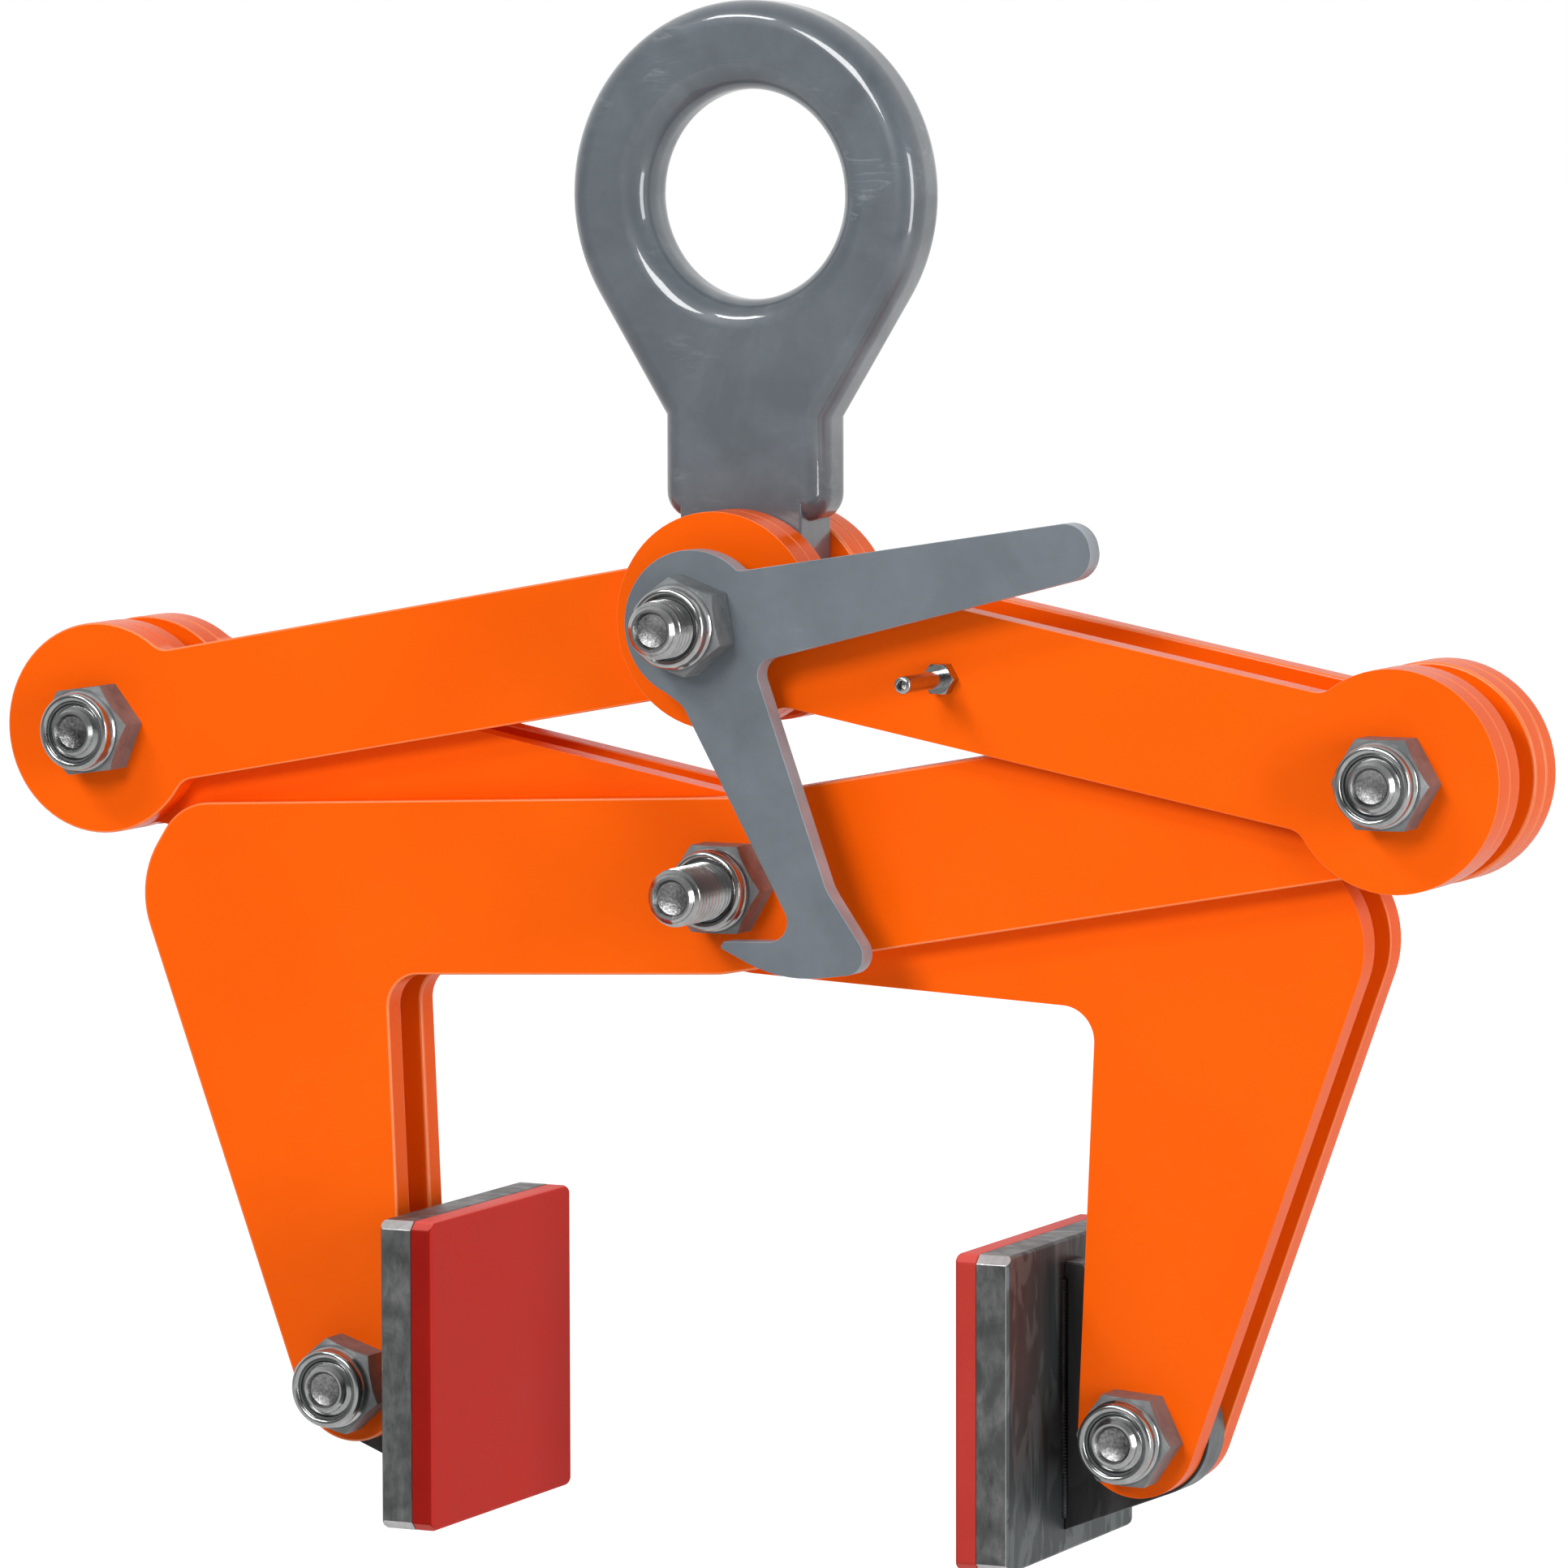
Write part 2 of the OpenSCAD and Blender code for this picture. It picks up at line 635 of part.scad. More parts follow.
pad_plate(left_pad_p, left_lug_mid);  // left_pad_plate
pad_lug(left_pad_p, left_lug_mid);  // left_pad_lug
pad_facing(left_pad_p, left_lug_mid);  // left_pad_facing
mirrored() pad_plate(left_pad_p, right_lug_mid);  // right_pad_plate
mirrored() pad_lug(left_pad_p, right_lug_mid);  // right_pad_lug
mirrored() pad_facing(left_pad_p, right_lug_mid);  // right_pad_facing
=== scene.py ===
# %% [markdown]
# # Scissor lifting tongs
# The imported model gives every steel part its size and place. This script dresses it: it takes a
# copy of each machined part to the bench and breaks its sharp edges, it turns and threads the
# bolts, forges the lifting eye, lays the welds, and gives every part a finish.
# Everything is in metres, and nothing is moved from where the model puts it.

# %% Load the model
import json
import math

import bpy
from mathutils import Matrix, Vector

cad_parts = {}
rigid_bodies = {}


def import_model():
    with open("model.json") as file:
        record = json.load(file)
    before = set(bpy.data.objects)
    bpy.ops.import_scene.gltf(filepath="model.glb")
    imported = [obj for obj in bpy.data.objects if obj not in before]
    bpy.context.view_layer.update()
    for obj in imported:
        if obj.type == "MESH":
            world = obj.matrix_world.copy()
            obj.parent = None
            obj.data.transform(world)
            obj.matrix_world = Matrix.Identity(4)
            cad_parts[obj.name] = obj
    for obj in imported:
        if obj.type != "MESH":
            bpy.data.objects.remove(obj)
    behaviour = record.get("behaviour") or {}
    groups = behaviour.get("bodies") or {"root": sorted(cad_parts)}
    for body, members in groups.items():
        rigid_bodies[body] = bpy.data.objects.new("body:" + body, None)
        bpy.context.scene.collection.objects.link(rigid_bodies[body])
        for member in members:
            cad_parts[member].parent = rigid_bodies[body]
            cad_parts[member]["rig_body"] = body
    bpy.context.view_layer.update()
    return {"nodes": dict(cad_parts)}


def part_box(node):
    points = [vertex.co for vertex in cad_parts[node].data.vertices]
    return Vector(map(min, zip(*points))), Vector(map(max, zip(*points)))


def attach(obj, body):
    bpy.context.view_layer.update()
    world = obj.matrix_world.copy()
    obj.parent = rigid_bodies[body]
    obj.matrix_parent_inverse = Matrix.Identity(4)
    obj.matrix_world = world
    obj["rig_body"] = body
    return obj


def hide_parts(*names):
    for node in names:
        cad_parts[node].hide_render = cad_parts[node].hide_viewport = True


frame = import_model()
MM = 0.001
print("model parts:", len(frame["nodes"]))

# %% [markdown]
# ## Camera
# The photograph was taken from the front right and a little above, through a long lens that
# keeps the plates nearly parallel. The camera's place and turn were solved from the centres of
# the bolts, so they are written as numbers here, and the small shift is how the photograph is
# framed. Depth of field stays off.

# %% Place the camera
LENS = 195.71
SHIFT = (0.0252, -0.0007)
CAMERA_AT = Vector((1.2594, -2.6517, 0.0676))
AZIMUTH, ELEVATION, ROLL = (math.radians(a) for a in (25.483, 5.271, -0.136))

across = Vector((math.cos(AZIMUTH), math.sin(AZIMUTH), 0))
back = Vector((math.sin(AZIMUTH) * math.cos(ELEVATION),
               -math.cos(AZIMUTH) * math.cos(ELEVATION), math.sin(ELEVATION)))
upward = back.cross(across)
right = across * math.cos(ROLL) + upward * math.sin(ROLL)
top = upward * math.cos(ROLL) - across * math.sin(ROLL)

lens = bpy.data.cameras.new("long_lens")
lens.sensor_width = 36
lens.lens = LENS
lens.shift_x, lens.shift_y = SHIFT
lens.clip_end = 100
camera = bpy.data.objects.new("camera", lens)
camera.matrix_world = Matrix.Translation(CAMERA_AT) @ Matrix(
    (right, top, back)).transposed().to_4x4()
bpy.context.scene.collection.objects.link(camera)
bpy.context.scene.camera = camera
bpy.context.scene.view_settings.view_transform = "Standard"
print("camera at", [round(c, 3) for c in CAMERA_AT])

# %% [markdown]
# ## Working at the bench
# An operator acts on all that is selected, so each job starts by picking up one piece and
# putting the rest down. A copy of a model part comes as loose triangles. Its doubles are merged
# and its flat faces joined, so that a bevel has true edges to follow. A bolt or a nut is then
# sawn off at the front, where a better end is turned for it later.

# %% Pick up a piece, copy a model part, saw it off
MERGE_WITHIN, FINE_MERGE = 0.01 * MM, 0.005 * MM
FLAT_WITHIN = math.radians(0.3)


def pick_up(piece):
    bpy.ops.object.select_all(action="DESELECT")
    piece.select_set(True)
    bpy.context.view_layer.objects.active = piece


def edit(piece):
    """Open a piece in edit mode, with all of it selected."""
    pick_up(piece)
    bpy.ops.object.mode_set(mode="EDIT")
    bpy.ops.mesh.select_mode(type="VERT")
    bpy.ops.mesh.select_all(action="SELECT")


def merge_doubles(reach):
    bpy.ops.mesh.select_all(action="SELECT")
    bpy.ops.mesh.remove_doubles(threshold=reach)


def turn_outward():
    """Turn every face outward and leave edit mode."""
    bpy.ops.mesh.select_all(action="SELECT")
    bpy.ops.mesh.normals_make_consistent(inside=False)
    bpy.ops.object.mode_set(mode="OBJECT")


def bench_copy(node, name):
    piece = bpy.data.objects.new(name, frame["nodes"][node].data.copy())
    bpy.context.scene.collection.objects.link(piece)
    piece.data.materials.clear()
    pick_up(piece)
    bpy.ops.mesh.customdata_custom_splitnormals_clear()
    edit(piece)
    merge_doubles(MERGE_WITHIN)
    bpy.ops.mesh.dissolve_limited(angle_limit=FLAT_WITHIN)
    turn_outward()
    return piece


def saw_off(piece, y):
    """Cut away what lies in front of a plane across the Y axis, and close the cut."""
    edit(piece)
    bpy.ops.mesh.bisect(plane_co=(0, y, 0), plane_no=(0, -1, 0), use_fill=True,
                        clear_outer=True)
    bpy.ops.object.mode_set(mode="OBJECT")


print("doubles are merged within", MERGE_WITHIN, "m")

# %% Break edges, dress, shade, join and fit a piece
EDGE_ANGLE, SMOOTH_ANGLE = 30, 40


def use(piece, kind, **settings):
    """Add a modifier and apply it."""
    modifier = piece.modifiers.new(kind.title(), kind)
    for key, value in settings.items():
        setattr(modifier, key, value)
    pick_up(piece)
    bpy.ops.object.modifier_apply(modifier=modifier.name)


def break_edges(piece, width, segments=3, angle=EDGE_ANGLE, **more):
    use(piece, "BEVEL", width=width, segments=segments, limit_method="ANGLE",
        angle_limit=math.radians(angle), **more)


def dress(piece, *finishes):
    """Give a piece its finishes. The second is for edges, often paler as a painted highlight, or
    for a hollow.
    """
    piece.data.materials.clear()
    for finish in finishes:
        piece.data.materials.append(finish)
    return piece


def shade(piece, angle=SMOOTH_ANGLE):
    """Smooth shading, except where two faces meet at more than the angle."""
    pick_up(piece)
    bpy.ops.object.shade_smooth_by_angle(angle=math.radians(angle))
    use(piece, "WEIGHTED_NORMAL", keep_sharp=True)


def join(first, other):
    pick_up(first)
    other.select_set(True)
    bpy.ops.object.join()
    return first


def fit_to(piece, body, slot, *nodes):
    """Hang a piece on a body of the model, in place of the nodes that it stands for."""
    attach(piece, body)
    if nodes:
        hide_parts(*nodes)


def body_of(node):
    return frame["nodes"][node]["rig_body"]


print("edges sharper than", EDGE_ANGLE, "degrees are broken")

# %% [markdown]
# ## How a finish is built
# A paint or a bare metal is never one colour. Each finish starts from Blender's own shader, and
# noise on Object coordinates, which stay with the steel when it moves, varies its colour, its
# roughness and its surface. Small helpers do this: a noise pattern, a ramp that turns the
# pattern into colours or numbers, a blend of two colours, a test of which way a face looks, and
# a bump.

# %% Helpers for finishes
def tint(red, green, blue):
    """Screen colour, 0 to 255, as the linear colour that a shader takes."""
    return tuple(((c / 255 + 0.055) / 1.055) ** 2.4 if c > 10 else c / 255 / 12.92
                 for c in (red, green, blue)) + (1,)


class Finish:
    """A material with its shader, and the patterns that feed it."""

    def __init__(self, name, **sockets):
        self.material = bpy.data.materials.new(name)
        self.material.use_nodes = True
        self.tree = self.material.node_tree
        self.shader = self.tree.nodes["Principled BSDF"]
        for key, value in sockets.items():
            self.shader.inputs[key.replace("_", " ")].default_value = value
        self.place = self.node("ShaderNodeTexCoord").outputs["Object"]

    def node(self, kind, inputs=(), **settings):
        made = self.tree.nodes.new(kind)
        for key, value in settings.items():
            setattr(made, key, value)
        for key, value in dict(inputs).items():
            if isinstance(value, bpy.types.NodeSocket):
                self.tree.links.new(value, made.inputs[key])
            else:
                made.inputs[key].default_value = value
        return made

    def noise(self, size, detail=4, rough=0.5, swirl=0.0, stretch=(1, 1, 1)):
        """Noise whose patches are about size metres across, stretched along an axis."""
        moved = self.node("ShaderNodeMapping", {"Vector": self.place,
                          "Scale": [1 / s for s in stretch]})
        return self.node("ShaderNodeTexNoise", {
            "Vector": moved.outputs["Vector"], "Scale": 1 / size, "Detail": detail,
            "Roughness": rough, "Distortion": swirl}).outputs["Fac"]

    def ramp(self, value, *stops):
        """Colours or numbers along a pattern, as (position, colour) stops."""
        made = self.node("ShaderNodeValToRGB", {"Fac": value})
        while len(made.color_ramp.elements) < len(stops):
            made.color_ramp.elements.new(0.5)
        for element, (at, colour) in zip(made.color_ramp.elements, stops):
            element.position = at
            element.color = colour if isinstance(colour, tuple) else (colour,) * 3 + (1,)
        return made.outputs["Color"]

    def blend(self, share, first, second, how="MIX"):
        """Two colours mixed. They are inputs 6 and 7 of a Mix node, and output 2 is the mix."""
        made = self.node("ShaderNodeMix", {"Factor": share}, data_type="RGBA", blend_type=how)
        for index, value in ((6, first), (7, second)):
            if isinstance(value, bpy.types.NodeSocket):
                self.tree.links.new(value, made.inputs[index])
            else:
                made.inputs[index].default_value = value
        return made.outputs[2]

    def facing(self, axis, low, high):
        """White where a face looks along an axis, either way, and black where it doesn't."""
        look = self.node("ShaderNodeTexCoord").outputs["Normal"]
        split = self.node("ShaderNodeSeparateXYZ", {"Vector": look}).outputs[axis]
        size = self.node("ShaderNodeMath", {0: split}, operation="ABSOLUTE").outputs[0]
        return self.ramp(size, (low, 0.0), (high, 1.0))

    def bump(self, height, depth, strength, over=None):
        """A pattern as hills of this depth in metres, laid over another bump if one is given."""
        inputs = {"Height": height, "Distance": depth, "Strength": strength}
        if over:
            inputs["Normal"] = over
        return self.node("ShaderNodeBump", inputs).outputs["Normal"]

    def feed(self, socket, value):
        self.tree.links.new(value, self.shader.inputs[socket])


print("a mid grey on screen is", round(tint(128, 128, 128)[0], 3), "in a shader")

# %% [markdown]
# ## Orange powder coat
# The links and arms are cut from plate and powder coated in a bright signal orange. A powder
# coat is even from afar and has a faint orange-peel skin up close. The rounded edges get a
# second, paler and glossier coat, a painted highlight along every rim. A pale edge could also be
# found by Pointiness, but that is measured at corners, and it smears over the long faces of a
# plate.

# %% Orange coat, and the paler coat on the edges that paints a highlight
def powder_coat(name, dark, light, speck, gloss):
    coat = Finish(name, Specular_IOR_Level=gloss)
    clouds = coat.noise(0.09, detail=3)
    shades = coat.ramp(clouds, (0.3, dark), (0.7, light))
    dust = coat.ramp(coat.noise(0.004, detail=6, rough=0.7), (0.66, 0.0), (0.85, 0.15))
    coat.feed("Base Color", coat.blend(dust, shades, speck))
    coat.feed("Roughness", coat.ramp(coat.noise(0.02), (0.3, 0.22), (0.7, 0.3)))
    peel = coat.bump(coat.noise(0.0016, detail=2), 0.05 * MM, 0.35)
    coat.feed("Normal", coat.bump(clouds, 0.4 * MM, 0.1, over=peel))
    return coat.material


orange_coat = powder_coat("orange_powder_coat", tint(247, 93, 6), tint(252, 99, 9),
                          tint(255, 120, 50), 0.07)
orange_edge_painted_highlight = powder_coat("orange_coat_painted_highlight_on_edges", tint(252, 126, 62), tint(255, 134, 74),
                          tint(255, 150, 95), 0.5)
print("finishes:", orange_coat.name, orange_edge_painted_highlight.name)

# %% [markdown]
# ## Grey paint of the forged eye
# The eye is a forging under a glossy grey paint. Hammer scale and grinding show through it as
# small pale streaks, and a clear coat on the shader gives its rounded rims their thin bright
# lines. The lever is a flat plate with a duller paint. Its edges and cut sides get a paler paint
# with more scuffs: the scuffs are wear, and the paler tone is painted light.

# %% Grey paint for the eye and the lever
def grey_paint(name, dark, light, pale, roughness, scuffs, gloss):
    paint = Finish(name, Coat_Weight=gloss, Coat_Roughness=0.06)
    cloud = paint.noise(0.03, detail=6, rough=0.55, swirl=0.6)
    body = paint.ramp(cloud, (0.38, dark), (0.62, light))
    mottle = paint.ramp(paint.noise(0.004, detail=5, rough=0.65), (0.35, 0.93), (0.68, 1.0))
    body = paint.blend(0.8, body, mottle, how="MULTIPLY")
    streaks = paint.noise(0.006, detail=5, rough=0.7, swirl=0.8, stretch=(3, 1, 0.7))
    patches = paint.ramp(paint.noise(0.035, detail=2), (0.52, 0.0), (0.66, 1.0))
    marks = paint.blend(patches, (0, 0, 0, 1), paint.ramp(streaks, (0.54, 0.0), (0.72, scuffs)))
    paint.feed("Base Color", paint.blend(marks, body, pale))
    paint.feed("Roughness", paint.ramp(cloud, (0.35, roughness + 0.1), (0.7, roughness - 0.05)))
    grain = paint.bump(paint.noise(0.0012, detail=3), 0.05 * MM, 0.4)
    paint.feed("Normal", paint.bump(paint.noise(0.012, detail=3), 0.5 * MM, 0.12, over=grain))
    return paint.material


eye_paint = grey_paint("grey_paint_on_forging", tint(80, 88, 95), tint(96, 104, 111),
                       tint(140, 148, 154), 0.4, 0.7, 1.0)
lever_paint = grey_paint("matt_grey_paint", tint(99, 107, 114), tint(107, 115, 122),
                         tint(134, 142, 149), 0.5, 0.25, 0.0)
lever_sides_scuffed_and_painted_light = grey_paint("grey_paint_scuffed_and_painted_light", tint(140, 149, 156), tint(160, 169, 176),
                        tint(200, 206, 210), 0.35, 0.6, 0.0)
print("finishes:", eye_paint.name, lever_paint.name, lever_sides_scuffed_and_painted_light.name)

# %% [markdown]
# ## Plated fasteners, bare steel, nylon and the red facing
# Nuts and bolts are zinc plated: bright metal with fine turning marks, duller on the nuts'
# flats, and a dark gritty hollow in each bolt's end. The pad plates are bare steel. Their sawn
# sides are a mottled grey, their backs are dark mill scale with wavy paler patches, and their
# ground corners shine. One edge at the right pad's back is painted in the same bright steel, as
# a painted highlight. The way a face looks tells the shader which of these it is. The locking
# rings are nylon, and the facing is cast polyurethane, satin, with tiny pores. Its cut sides are
# painted in shade and light, darker on the left pad than on the right one, and its tops are
# painted paler, as a painted highlight.

# %% Plated, welded and bare steel
def metal(name, dark, light, roughness, depth, size=0.004, metallic=1.0):
    bare = Finish(name, Metallic=metallic)
    lines = bare.noise(size, detail=7, rough=0.7)
    cloud = bare.noise(0.02, swirl=0.4)
    bare.feed("Base Color", bare.blend(0.5, bare.ramp(lines, (0.32, dark), (0.68, light)),
                                       bare.ramp(cloud, (0.35, dark), (0.7, light))))
    bare.feed("Roughness", bare.ramp(lines, (0.3, roughness + 0.06), (0.7, roughness - 0.05)))
    bare.feed("Normal", bare.bump(lines, depth, 0.5))
    return bare.material


zinc = metal("zinc_plating", tint(150, 152, 152), tint(198, 199, 198), 0.17, 0.015 * MM)
matt_zinc = metal("matt_zinc_on_flats", tint(98, 101, 102), tint(142, 145, 146), 0.42,
                  0.03 * MM, metallic=0.3)
rough_zinc = metal("gritty_hollow", tint(30, 30, 32), tint(190, 190, 190), 0.24, 0.4 * MM,
                   size=0.0012)
weld_metal = metal("weld_bead_steel", tint(34, 34, 35), tint(70, 70, 71), 0.45, 0.1 * MM)
# This bright steel is real grinding on the pad corners, and a painted highlight on one edge of
# the right pad.
ground_steel_and_painted_highlight = metal("ground_steel_and_painted_highlight", tint(168, 168, 168), tint(224, 224, 224), 0.3, 0.04 * MM,
                     metallic=0.5)


def bare_plate(name, rolled_axis, scale_dark, scale_light, bare_patch, side_dark, side_light):
    """Steel plate whose rolled faces look along one axis. Its other faces are sawn."""
    steel = Finish(name, Metallic=0.1, Specular_IOR_Level=0.3)
    sawn_marks = steel.noise(0.005, detail=7, rough=0.7, stretch=(1, 1, 2.5))
    sides = steel.blend(
        steel.ramp(steel.noise(0.016, detail=5, swirl=0.8), (0.42, 0.0), (0.6, 0.7)),
        steel.ramp(sawn_marks, (0.3, side_dark), (0.7, side_light)), side_dark)
    rolling = steel.noise(0.01, detail=6, rough=0.6, stretch=(1, 1, 9))
    waves = steel.noise(0.022, detail=3, swirl=2.2, stretch=(1, 0.8, 2.4))
    scale = steel.blend(steel.ramp(waves, (0.5, 0.0), (0.56, 0.85)),
                        steel.ramp(rolling, (0.3, scale_dark), (0.7, scale_light)), bare_patch)
    steel.feed("Base Color", steel.blend(steel.facing(rolled_axis, 0.5, 0.7), sides, scale))
    steel.feed("Roughness", steel.ramp(waves, (0.45, 0.46), (0.6, 0.34)))
    steel.feed("Normal", steel.bump(sawn_marks, 0.08 * MM, 0.5))
    return steel.material


plate_steel = bare_plate("mill_scale_on_plate", "X", tint(46, 51, 52), tint(68, 74, 75),
                         tint(84, 91, 92), tint(58, 59, 59), tint(114, 115, 115))
lug_steel = bare_plate("mill_scale_on_lug", "Y", tint(30, 30, 30), tint(52, 52, 52),
                       tint(56, 56, 56), tint(84, 88, 90), tint(120, 124, 126))
print("finishes:", zinc.name, matt_zinc.name, rough_zinc.name, weld_metal.name,
      ground_steel_and_painted_highlight.name, plate_steel.name, lug_steel.name)

# %% Nylon and polyurethane
ring_plastic = Finish("nylon_ring", Roughness=0.5)
ring_plastic.feed("Base Color", ring_plastic.ramp(
    ring_plastic.noise(0.003), (0.3, tint(70, 72, 74)), (0.7, tint(92, 94, 96))))
ring_plastic.feed("Normal", ring_plastic.bump(ring_plastic.noise(0.001), 0.05 * MM, 0.5))

red = Finish("red_polyurethane", Subsurface_Weight=0.05, Specular_IOR_Level=0.06)
red.shader.inputs["Subsurface Radius"].default_value = (2 * MM, 0.4 * MM, 0.3 * MM)
cast = red.noise(0.03)
front = red.ramp(cast, (0.3, tint(196, 50, 42)), (0.7, tint(202, 53, 45)))
# The cut sides are painted in shade and light: darker on the left pad, paler on the right one.
left_cut_sides_painted_shade = red.ramp(cast, (0.3, tint(144, 22, 15)), (0.7, tint(152, 26, 19)))
right_cut_sides_painted_light = red.ramp(cast, (0.3, tint(182, 56, 48)), (0.7, tint(190, 62, 54)))
place_x = red.node("ShaderNodeSeparateXYZ", {"Vector": red.place}).outputs["X"]
on_right_pad = red.ramp(place_x, (0.0, 0.0), (0.02, 1.0))
sides = red.blend(on_right_pad, left_cut_sides_painted_shade, right_cut_sides_painted_light)
# Faces that look up or down are painted a pale pink, a painted highlight.
edges = red.blend(red.facing("Z", 0.5, 0.8), sides, tint(230, 100, 92))
skin = red.blend(red.facing("X", 0.5, 0.8), edges, front)
specks = red.ramp(red.noise(0.0015, rough=0.7), (0.3, 0.95), (0.7, 1.0))
red.feed("Base Color", red.blend(0.7, skin, specks, how="MULTIPLY"))
red.feed("Roughness", red.ramp(cast, (0.3, 0.44), (0.7, 0.56)))
red.feed("Normal", red.bump(red.noise(0.0012, detail=3), 0.08 * MM, 0.4))
print("finishes:", ring_plastic.material.name, red.material.name)

# %% [markdown]
# ## Links and arms
# Eight flat plates, two for each link and arm. A real one is flame cut, and its edges are
# rounded by blasting before the coat goes on. The bevel could be drawn by hand along each edge,
# but a bevel modifier limited by angle finds the rim of every plate and every bore at once.

# %% Round the edges of the plates
PLATE_EDGE = 1.1 * MM
plates = [f"{side}_{kind}_{layer}" for side in ("left", "right") for kind in ("link", "arm")
          for layer in ("front", "rear")]
for node in plates:
    plate = dress(bench_copy(node, "coated_" + node), orange_coat, orange_edge_painted_highlight)
    # The bevel's faces take the second finish, whose paler orange is a painted highlight along
    # the rims.
    break_edges(plate, PLATE_EDGE, material=1)
    shade(plate)
    fit_to(plate, body_of(node), "orange", node)
print("plates:", len(plates))

# %% [markdown]
# ## Turning on a lathe
# Anything round is drawn as half a profile and spun about its axis, as a lathe would cut it.
# The profile starts as one point and is extruded from corner to corner, and an arc gives it a
# round corner. After the spin the seam and the two poles are merged, and the faces are turned
# outward.

# %% An arc, an outline and a lathe, and a way to move and copy what they make
def arc(middle, radius, start, stop, steps):
    """Points of an arc, angles in degrees."""
    return [(middle[0] + radius * math.cos(a), middle[1] + radius * math.sin(a)) for a in
            (math.radians(start + (stop - start) * i / steps) for i in range(steps + 1))]


def outline(name, points):
    """Edges from point to point, each drawn out of the last. Points are (x, y, z)."""
    bpy.ops.object.select_all(action="DESELECT")
    bpy.ops.mesh.primitive_plane_add(size=MM, location=(0, 0, 0))
    piece = bpy.context.object
    piece.name = name
    edit(piece)
    bpy.ops.mesh.merge(type="CENTER")
    bpy.ops.transform.translate(value=points[0])
    for here, there in zip(points, points[1:]):
        bpy.ops.mesh.extrude_region_move(TRANSFORM_OT_translate={
            "value": [b - a for a, b in zip(here, there)]})
    return piece


def turned(name, profile, steps=72, closed=False):
    """Profile of (radius, y) spun about the Y axis."""
    points = [(r, y, 0) for r, y in profile]
    piece = outline(name, points + points[:1] if closed else points)
    merge_doubles(FINE_MERGE)
    bpy.ops.mesh.spin(steps=steps, angle=2 * math.pi, center=(0, 0, 0), axis=(0, 1, 0))
    merge_doubles(FINE_MERGE)
    turn_outward()
    return piece


def moved(piece, x, y, z):
    edit(piece)
    bpy.ops.transform.translate(value=(x, y, z))
    bpy.ops.object.mode_set(mode="OBJECT")
    return piece


def copied(piece, name):
    twin = bpy.data.objects.new(name, piece.data.copy())
    bpy.context.scene.collection.objects.link(twin)
    return twin


print("a quarter arc in six steps has", len(arc((0, 0), MM, 0, 90, 6)), "points")

# %% [markdown]
# ## Bolts
# A bolt is its model copy as far as the nut, sawn off there, with a threaded end turned to go
# on. The thread is a real ridge: a small cross-section wound on a screw modifier. It is then
# turned down to the cone of the bolt's end by a boolean, so that it fades out as on a cut bolt.
# The end is dished, as forged bolts are, with a steep wall and a nearly flat bottom.

# %% Wind a thread
BOLT_R, BOLT_PITCH = 10 * MM, 2.5 * MM
THREAD_DEPTH, THREAD_SINK = 0.6 * BOLT_PITCH, 0.25 * MM
THREAD_STEPS = 40


def thread(name, turns):
    """A ridge wound from y = 0 towards +Y, closed at both ends, its foot sunk in the core."""
    foot = BOLT_R - THREAD_DEPTH - THREAD_SINK
    corners = ((foot, 0.03), (BOLT_R, 0.44), (BOLT_R, 0.56), (foot, 0.97))
    section = [(r, share * BOLT_PITCH, 0) for r, share in corners]
    piece = outline(name, section + section[:1])
    merge_doubles(FINE_MERGE)
    bpy.ops.object.mode_set(mode="OBJECT")
    use(piece, "SCREW", axis="Y", angle=2 * math.pi, screw_offset=BOLT_PITCH, iterations=turns,
        steps=THREAD_STEPS, render_steps=THREAD_STEPS, use_merge_vertices=False)
    edit(piece)
    bpy.ops.mesh.select_all(action="DESELECT")
    bpy.ops.mesh.select_non_manifold(extend=False)
    bpy.ops.mesh.fill_holes(sides=0)
    turn_outward()
    return piece


print("thread pitch:", BOLT_PITCH, "depth:", THREAD_DEPTH)

# %% Turn one bolt end of each length and copy it
BOLT_CONE, BOLT_DISH, BOLT_LIP = 2.7 * MM, 2.5 * MM, 0.7 * MM
BOLT_EDGE = 0.4 * MM
BOLT_STEPS = 56
SAWN_INSIDE = 0.5 * MM


def line_hollow(piece, radius):
    """Give the hollow in a front end its own finish."""
    for face in piece.data.polygons:
        out = math.hypot(face.center.x, face.center.z)
        face.material_index = int(face.center.y > 0 and out < radius and face.normal.y < 0.5)
    return piece


def threaded_end(name, length):
    """Bolt end whose tip is at y = 0 and which runs back to y = length."""
    root, tip = BOLT_R - THREAD_DEPTH, BOLT_R - BOLT_CONE
    lip = tip - BOLT_LIP
    cone_foot = BOLT_CONE * (root - tip) / (BOLT_R - tip)
    bowl = [(lip - 0.4 * MM, 0.3 * MM), (lip - MM, BOLT_DISH * 0.62),
            (lip * 0.55, BOLT_DISH * 0.9), (0, BOLT_DISH)]
    core = turned(name, [(0, length), (root, length), (root, cone_foot), (tip, 0), (lip, 0)]
                  + bowl, steps=BOLT_STEPS)
    line_hollow(dress(core, zinc, rough_zinc), lip - 0.2 * MM)
    ridge = dress(thread("ridge", max(2, int(length / BOLT_PITCH))), zinc)
    moved(ridge, 0, -0.4 * BOLT_PITCH, 0)
    stock = turned("stock", [(0, length), (BOLT_R + MM, length), (BOLT_R + MM, BOLT_CONE + MM),
                             (tip, 0), (0, 0)], steps=BOLT_STEPS)
    use(ridge, "BOOLEAN", operation="INTERSECT", object=stock, solver="EXACT")
    bpy.data.objects.remove(stock)
    return join(core, ridge)


